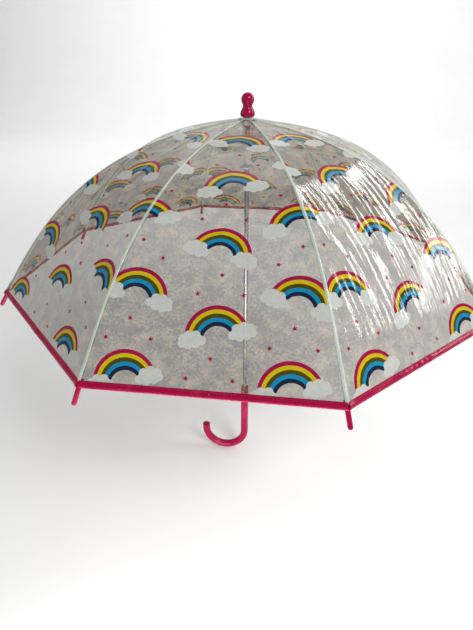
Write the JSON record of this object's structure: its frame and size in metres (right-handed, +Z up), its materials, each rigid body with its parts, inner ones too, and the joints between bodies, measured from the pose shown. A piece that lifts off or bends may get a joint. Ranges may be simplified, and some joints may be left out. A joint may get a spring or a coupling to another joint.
{
  "type": "child's dome umbrella",
  "caption": "Child's clear dome umbrella: printed see-through canopy on bending ribs, sliding runner with stretchers, steel shaft, ball finial and crook handle.",
  "frame": {"origin": "on the shaft's axis at the middle of the hand grip", "axes": "+Z up the shaft towards the finial, crook towards -X, the middle of one canopy panel towards -Y"},
  "size_m": [0.703, 0.703, 0.6633],
  "materials": {
    "pink_plastic": "glossy moulded pink plastic",
    "film": "clear glossy film with printed rainbows, clouds and stars",
    "rod": "pale mint-white coated rod",
    "milky_plastic": "translucent milky moulded plastic",
    "steel": "plated steel"
  },
  "bodies": {
    "root": {"shaft": "steel", "stop_pin": "steel", "handle": "pink_plastic", "handle_plug": "pink_plastic", "top_notch": "milky_plastic", "notch_wire": "steel", "canopy_cap": "milky_plastic", "finial": "pink_plastic"},
    "runner": {"runner": "milky_plastic", "runner_wire": "steel"},
    "top_catch": {"top_catch": "steel"},
    "bottom_catch": {"bottom_catch": "steel"},
    "rib_1_inner": {"rib_1_inner": "rod"},
    "rib_1_middle": {"rib_1_middle": "rod"},
    "rib_1_outer": {"rib_1_outer": "rod", "rib_tip_1": "pink_plastic"},
    "stretcher_1": {"stretcher_1": "rod"},
    "gore_1": {"gore_1": "film"},
    "rib_2_inner": {"rib_2_inner": "rod"},
    "rib_2_middle": {"rib_2_middle": "rod"},
    "rib_2_outer": {"rib_2_outer": "rod", "rib_tip_2": "pink_plastic"},
    "stretcher_2": {"stretcher_2": "rod"},
    "gore_2": {"gore_2": "film"},
    "rib_3_inner": {"rib_3_inner": "rod"},
    "rib_3_middle": {"rib_3_middle": "rod"},
    "rib_3_outer": {"rib_3_outer": "rod", "rib_tip_3": "pink_plastic"},
    "stretcher_3": {"stretcher_3": "rod"},
    "gore_3": {"gore_3": "film"},
    "rib_4_inner": {"rib_4_inner": "rod"},
    "rib_4_middle": {"rib_4_middle": "rod"},
    "rib_4_outer": {"rib_4_outer": "rod", "rib_tip_4": "pink_plastic"},
    "stretcher_4": {"stretcher_4": "rod"},
    "gore_4": {"gore_4": "film"},
    "rib_5_inner": {"rib_5_inner": "rod"},
    "rib_5_middle": {"rib_5_middle": "rod"},
    "rib_5_outer": {"rib_5_outer": "rod", "rib_tip_5": "pink_plastic"},
    "stretcher_5": {"stretcher_5": "rod"},
    "gore_5": {"gore_5": "film"},
    "rib_6_inner": {"rib_6_inner": "rod"},
    "rib_6_middle": {"rib_6_middle": "rod"},
    "rib_6_outer": {"rib_6_outer": "rod", "rib_tip_6": "pink_plastic"},
    "stretcher_6": {"stretcher_6": "rod"},
    "gore_6": {"gore_6": "film"},
    "rib_7_inner": {"rib_7_inner": "rod"},
    "rib_7_middle": {"rib_7_middle": "rod"},
    "rib_7_outer": {"rib_7_outer": "rod", "rib_tip_7": "pink_plastic"},
    "stretcher_7": {"stretcher_7": "rod"},
    "gore_7": {"gore_7": "film"},
    "rib_8_inner": {"rib_8_inner": "rod"},
    "rib_8_middle": {"rib_8_middle": "rod"},
    "rib_8_outer": {"rib_8_outer": "rod", "rib_tip_8": "pink_plastic"},
    "stretcher_8": {"stretcher_8": "rod"},
    "gore_8": {"gore_8": "film"}
  },
  "joints": [
    {"name": "runner_slide", "type": "slide", "parent": "root", "child": "runner", "axis": [0, 0, 1], "range_m": [-0.2454, 0]},
    {"name": "top_catch_press", "type": "hinge", "parent": "root", "child": "top_catch", "pos_m": [0, 0.0018, 0.4351], "axis": [1, 0, 0], "range_deg": [0, 4.5], "stiffness_Nm_per_rad": 0.2},
    {"name": "bottom_catch_press", "type": "hinge", "parent": "root", "child": "bottom_catch", "pos_m": [0, 0.0018, 0.256], "axis": [-1, 0, 0], "range_deg": [0, 4.5], "stiffness_Nm_per_rad": 0.2},
    {"name": "rib_1_hinge", "type": "hinge", "parent": "root", "child": "rib_1_inner", "pos_m": [-0.00346, -0.00835, 0.5261], "axis": [0.9239, -0.3827, 0], "range_deg": [0, 73]},
    {"name": "rib_1_bend_1", "type": "hinge", "parent": "rib_1_inner", "child": "rib_1_middle", "pos_m": [-0.05917, -0.14284, 0.49201], "axis": [0.9239, -0.3827, 0], "range_deg": [-19.5, 0]},
    {"name": "rib_1_bend_2", "type": "hinge", "parent": "rib_1_middle", "child": "rib_1_outer", "pos_m": [-0.10605, -0.25603, 0.41259], "axis": [0.9239, -0.3827, 0], "range_deg": [-19.5, 0]},
    {"name": "stretcher_1_hinge", "type": "hinge", "parent": "runner", "child": "stretcher_1", "pos_m": [-0.00367, -0.00887, 0.4945], "axis": [0.9239, -0.3827, 0], "range_deg": [-89.24, 0]},
    {"name": "gore_1_fold", "type": "hinge", "parent": "root", "child": "gore_1", "pos_m": [0, -0.00904, 0.5261], "axis": [1, 0, 0], "range_deg": [0, 50], "deforming": ["gore_1"]},
    {"name": "rib_2_hinge", "type": "hinge", "parent": "root", "child": "rib_2_inner", "pos_m": [0.00346, -0.00835, 0.5261], "axis": [0.9239, 0.3827, 0], "range_deg": [0, 73]},
    {"name": "rib_2_bend_1", "type": "hinge", "parent": "rib_2_inner", "child": "rib_2_middle", "pos_m": [0.05917, -0.14284, 0.49201], "axis": [0.9239, 0.3827, 0], "range_deg": [-19.5, 0]},
    {"name": "rib_2_bend_2", "type": "hinge", "parent": "rib_2_middle", "child": "rib_2_outer", "pos_m": [0.10605, -0.25603, 0.41259], "axis": [0.9239, 0.3827, 0], "range_deg": [-19.5, 0]},
    {"name": "stretcher_2_hinge", "type": "hinge", "parent": "runner", "child": "stretcher_2", "pos_m": [0.00367, -0.00887, 0.4945], "axis": [0.9239, 0.3827, 0], "range_deg": [-89.24, 0]},
    {"name": "gore_2_fold", "type": "hinge", "parent": "root", "child": "gore_2", "pos_m": [0.00639, -0.00639, 0.5261], "axis": [0.7071, 0.7071, 0], "range_deg": [0, 50], "deforming": ["gore_2"]},
    {"name": "rib_3_hinge", "type": "hinge", "parent": "root", "child": "rib_3_inner", "pos_m": [0.00835, -0.00346, 0.5261], "axis": [0.3827, 0.9239, 0], "range_deg": [0, 73]},
    {"name": "rib_3_bend_1", "type": "hinge", "parent": "rib_3_inner", "child": "rib_3_middle", "pos_m": [0.14284, -0.05917, 0.49201], "axis": [0.3827, 0.9239, 0], "range_deg": [-19.5, 0]},
    {"name": "rib_3_bend_2", "type": "hinge", "parent": "rib_3_middle", "child": "rib_3_outer", "pos_m": [0.25603, -0.10605, 0.41259], "axis": [0.3827, 0.9239, 0], "range_deg": [-19.5, 0]},
    {"name": "stretcher_3_hinge", "type": "hinge", "parent": "runner", "child": "stretcher_3", "pos_m": [0.00887, -0.00367, 0.4945], "axis": [0.3827, 0.9239, 0], "range_deg": [-89.24, 0]},
    {"name": "gore_3_fold", "type": "hinge", "parent": "root", "child": "gore_3", "pos_m": [0.00904, 0, 0.5261], "axis": [0, 1, 0], "range_deg": [0, 50], "deforming": ["gore_3"]},
    {"name": "rib_4_hinge", "type": "hinge", "parent": "root", "child": "rib_4_inner", "pos_m": [0.00835, 0.00346, 0.5261], "axis": [-0.3827, 0.9239, 0], "range_deg": [0, 73]},
    {"name": "rib_4_bend_1", "type": "hinge", "parent": "rib_4_inner", "child": "rib_4_middle", "pos_m": [0.14284, 0.05917, 0.49201], "axis": [-0.3827, 0.9239, 0], "range_deg": [-19.5, 0]},
    {"name": "rib_4_bend_2", "type": "hinge", "parent": "rib_4_middle", "child": "rib_4_outer", "pos_m": [0.25603, 0.10605, 0.41259], "axis": [-0.3827, 0.9239, 0], "range_deg": [-19.5, 0]},
    {"name": "stretcher_4_hinge", "type": "hinge", "parent": "runner", "child": "stretcher_4", "pos_m": [0.00887, 0.00367, 0.4945], "axis": [-0.3827, 0.9239, 0], "range_deg": [-89.24, 0]},
    {"name": "gore_4_fold", "type": "hinge", "parent": "root", "child": "gore_4", "pos_m": [0.00639, 0.00639, 0.5261], "axis": [-0.7071, 0.7071, 0], "range_deg": [0, 50], "deforming": ["gore_4"]},
    {"name": "rib_5_hinge", "type": "hinge", "parent": "root", "child": "rib_5_inner", "pos_m": [0.00346, 0.00835, 0.5261], "axis": [-0.9239, 0.3827, 0], "range_deg": [0, 73]},
    {"name": "rib_5_bend_1", "type": "hinge", "parent": "rib_5_inner", "child": "rib_5_middle", "pos_m": [0.05917, 0.14284, 0.49201], "axis": [-0.9239, 0.3827, 0], "range_deg": [-19.5, 0]},
    {"name": "rib_5_bend_2", "type": "hinge", "parent": "rib_5_middle", "child": "rib_5_outer", "pos_m": [0.10605, 0.25603, 0.41259], "axis": [-0.9239, 0.3827, 0], "range_deg": [-19.5, 0]},
    {"name": "stretcher_5_hinge", "type": "hinge", "parent": "runner", "child": "stretcher_5", "pos_m": [0.00367, 0.00887, 0.4945], "axis": [-0.9239, 0.3827, 0], "range_deg": [-89.24, 0]},
    {"name": "gore_5_fold", "type": "hinge", "parent": "root", "child": "gore_5", "pos_m": [0, 0.00904, 0.5261], "axis": [-1, 0, 0], "range_deg": [0, 50], "deforming": ["gore_5"]},
    {"name": "rib_6_hinge", "type": "hinge", "parent": "root", "child": "rib_6_inner", "pos_m": [-0.00346, 0.00835, 0.5261], "axis": [-0.9239, -0.3827, 0], "range_deg": [0, 73]},
    {"name": "rib_6_bend_1", "type": "hinge", "parent": "rib_6_inner", "child": "rib_6_middle", "pos_m": [-0.05917, 0.14284, 0.49201], "axis": [-0.9239, -0.3827, 0], "range_deg": [-19.5, 0]},
    {"name": "rib_6_bend_2", "type": "hinge", "parent": "rib_6_middle", "child": "rib_6_outer", "pos_m": [-0.10605, 0.25603, 0.41259], "axis": [-0.9239, -0.3827, 0], "range_deg": [-19.5, 0]},
    {"name": "stretcher_6_hinge", "type": "hinge", "parent": "runner", "child": "stretcher_6", "pos_m": [-0.00367, 0.00887, 0.4945], "axis": [-0.9239, -0.3827, 0], "range_deg": [-89.24, 0]},
    {"name": "gore_6_fold", "type": "hinge", "parent": "root", "child": "gore_6", "pos_m": [-0.00639, 0.00639, 0.5261], "axis": [-0.7071, -0.7071, 0], "range_deg": [0, 50], "deforming": ["gore_6"]},
    {"name": "rib_7_hinge", "type": "hinge", "parent": "root", "child": "rib_7_inner", "pos_m": [-0.00835, 0.00346, 0.5261], "axis": [-0.3827, -0.9239, 0], "range_deg": [0, 73]},
    {"name": "rib_7_bend_1", "type": "hinge", "parent": "rib_7_inner", "child": "rib_7_middle", "pos_m": [-0.14284, 0.05917, 0.49201], "axis": [-0.3827, -0.9239, 0], "range_deg": [-19.5, 0]},
    {"name": "rib_7_bend_2", "type": "hinge", "parent": "rib_7_middle", "child": "rib_7_outer", "pos_m": [-0.25603, 0.10605, 0.41259], "axis": [-0.3827, -0.9239, 0], "range_deg": [-19.5, 0]},
    {"name": "stretcher_7_hinge", "type": "hinge", "parent": "runner", "child": "stretcher_7", "pos_m": [-0.00887, 0.00367, 0.4945], "axis": [-0.3827, -0.9239, 0], "range_deg": [-89.24, 0]},
    {"name": "gore_7_fold", "type": "hinge", "parent": "root", "child": "gore_7", "pos_m": [-0.00904, 0, 0.5261], "axis": [0, -1, 0], "range_deg": [0, 50], "deforming": ["gore_7"]},
    {"name": "rib_8_hinge", "type": "hinge", "parent": "root", "child": "rib_8_inner", "pos_m": [-0.00835, -0.00346, 0.5261], "axis": [0.3827, -0.9239, 0], "range_deg": [0, 73]},
    {"name": "rib_8_bend_1", "type": "hinge", "parent": "rib_8_inner", "child": "rib_8_middle", "pos_m": [-0.14284, -0.05917, 0.49201], "axis": [0.3827, -0.9239, 0], "range_deg": [-19.5, 0]},
    {"name": "rib_8_bend_2", "type": "hinge", "parent": "rib_8_middle", "child": "rib_8_outer", "pos_m": [-0.25603, -0.10605, 0.41259], "axis": [0.3827, -0.9239, 0], "range_deg": [-19.5, 0]},
    {"name": "stretcher_8_hinge", "type": "hinge", "parent": "runner", "child": "stretcher_8", "pos_m": [-0.00887, -0.00367, 0.4945], "axis": [0.3827, -0.9239, 0], "range_deg": [-89.24, 0]},
    {"name": "gore_8_fold", "type": "hinge", "parent": "root", "child": "gore_8", "pos_m": [-0.00639, -0.00639, 0.5261], "axis": [0.7071, -0.7071, 0], "range_deg": [0, 50], "deforming": ["gore_8"]}
  ],
  "couplings": [
    {"joint": "rib_1_hinge", "follows": "runner_slide", "rad_per_m": -5.1919},
    {"joint": "rib_1_bend_1", "follows": "runner_slide", "rad_per_m": 1.3869},
    {"joint": "rib_1_bend_2", "follows": "runner_slide", "rad_per_m": 1.3869},
    {"joint": "stretcher_1_hinge", "follows": "runner_slide", "rad_per_m": 6.3469},
    {"joint": "gore_1_fold", "follows": "runner_slide", "rad_per_m": -3.5561},
    {"joint": "rib_2_hinge", "follows": "runner_slide", "rad_per_m": -5.1919},
    {"joint": "rib_2_bend_1", "follows": "runner_slide", "rad_per_m": 1.3869},
    {"joint": "rib_2_bend_2", "follows": "runner_slide", "rad_per_m": 1.3869},
    {"joint": "stretcher_2_hinge", "follows": "runner_slide", "rad_per_m": 6.3469},
    {"joint": "gore_2_fold", "follows": "runner_slide", "rad_per_m": -3.5561},
    {"joint": "rib_3_hinge", "follows": "runner_slide", "rad_per_m": -5.1919},
    {"joint": "rib_3_bend_1", "follows": "runner_slide", "rad_per_m": 1.3869},
    {"joint": "rib_3_bend_2", "follows": "runner_slide", "rad_per_m": 1.3869},
    {"joint": "stretcher_3_hinge", "follows": "runner_slide", "rad_per_m": 6.3469},
    {"joint": "gore_3_fold", "follows": "runner_slide", "rad_per_m": -3.5561},
    {"joint": "rib_4_hinge", "follows": "runner_slide", "rad_per_m": -5.1919},
    {"joint": "rib_4_bend_1", "follows": "runner_slide", "rad_per_m": 1.3869},
    {"joint": "rib_4_bend_2", "follows": "runner_slide", "rad_per_m": 1.3869},
    {"joint": "stretcher_4_hinge", "follows": "runner_slide", "rad_per_m": 6.3469},
    {"joint": "gore_4_fold", "follows": "runner_slide", "rad_per_m": -3.5561},
    {"joint": "rib_5_hinge", "follows": "runner_slide", "rad_per_m": -5.1919},
    {"joint": "rib_5_bend_1", "follows": "runner_slide", "rad_per_m": 1.3869},
    {"joint": "rib_5_bend_2", "follows": "runner_slide", "rad_per_m": 1.3869},
    {"joint": "stretcher_5_hinge", "follows": "runner_slide", "rad_per_m": 6.3469},
    {"joint": "gore_5_fold", "follows": "runner_slide", "rad_per_m": -3.5561},
    {"joint": "rib_6_hinge", "follows": "runner_slide", "rad_per_m": -5.1919},
    {"joint": "rib_6_bend_1", "follows": "runner_slide", "rad_per_m": 1.3869},
    {"joint": "rib_6_bend_2", "follows": "runner_slide", "rad_per_m": 1.3869},
    {"joint": "stretcher_6_hinge", "follows": "runner_slide", "rad_per_m": 6.3469},
    {"joint": "gore_6_fold", "follows": "runner_slide", "rad_per_m": -3.5561},
    {"joint": "rib_7_hinge", "follows": "runner_slide", "rad_per_m": -5.1919},
    {"joint": "rib_7_bend_1", "follows": "runner_slide", "rad_per_m": 1.3869},
    {"joint": "rib_7_bend_2", "follows": "runner_slide", "rad_per_m": 1.3869},
    {"joint": "stretcher_7_hinge", "follows": "runner_slide", "rad_per_m": 6.3469},
    {"joint": "gore_7_fold", "follows": "runner_slide", "rad_per_m": -3.5561},
    {"joint": "rib_8_hinge", "follows": "runner_slide", "rad_per_m": -5.1919},
    {"joint": "rib_8_bend_1", "follows": "runner_slide", "rad_per_m": 1.3869},
    {"joint": "rib_8_bend_2", "follows": "runner_slide", "rad_per_m": 1.3869},
    {"joint": "stretcher_8_hinge", "follows": "runner_slide", "rad_per_m": 6.3469},
    {"joint": "gore_8_fold", "follows": "runner_slide", "rad_per_m": -3.5561}
  ]
}
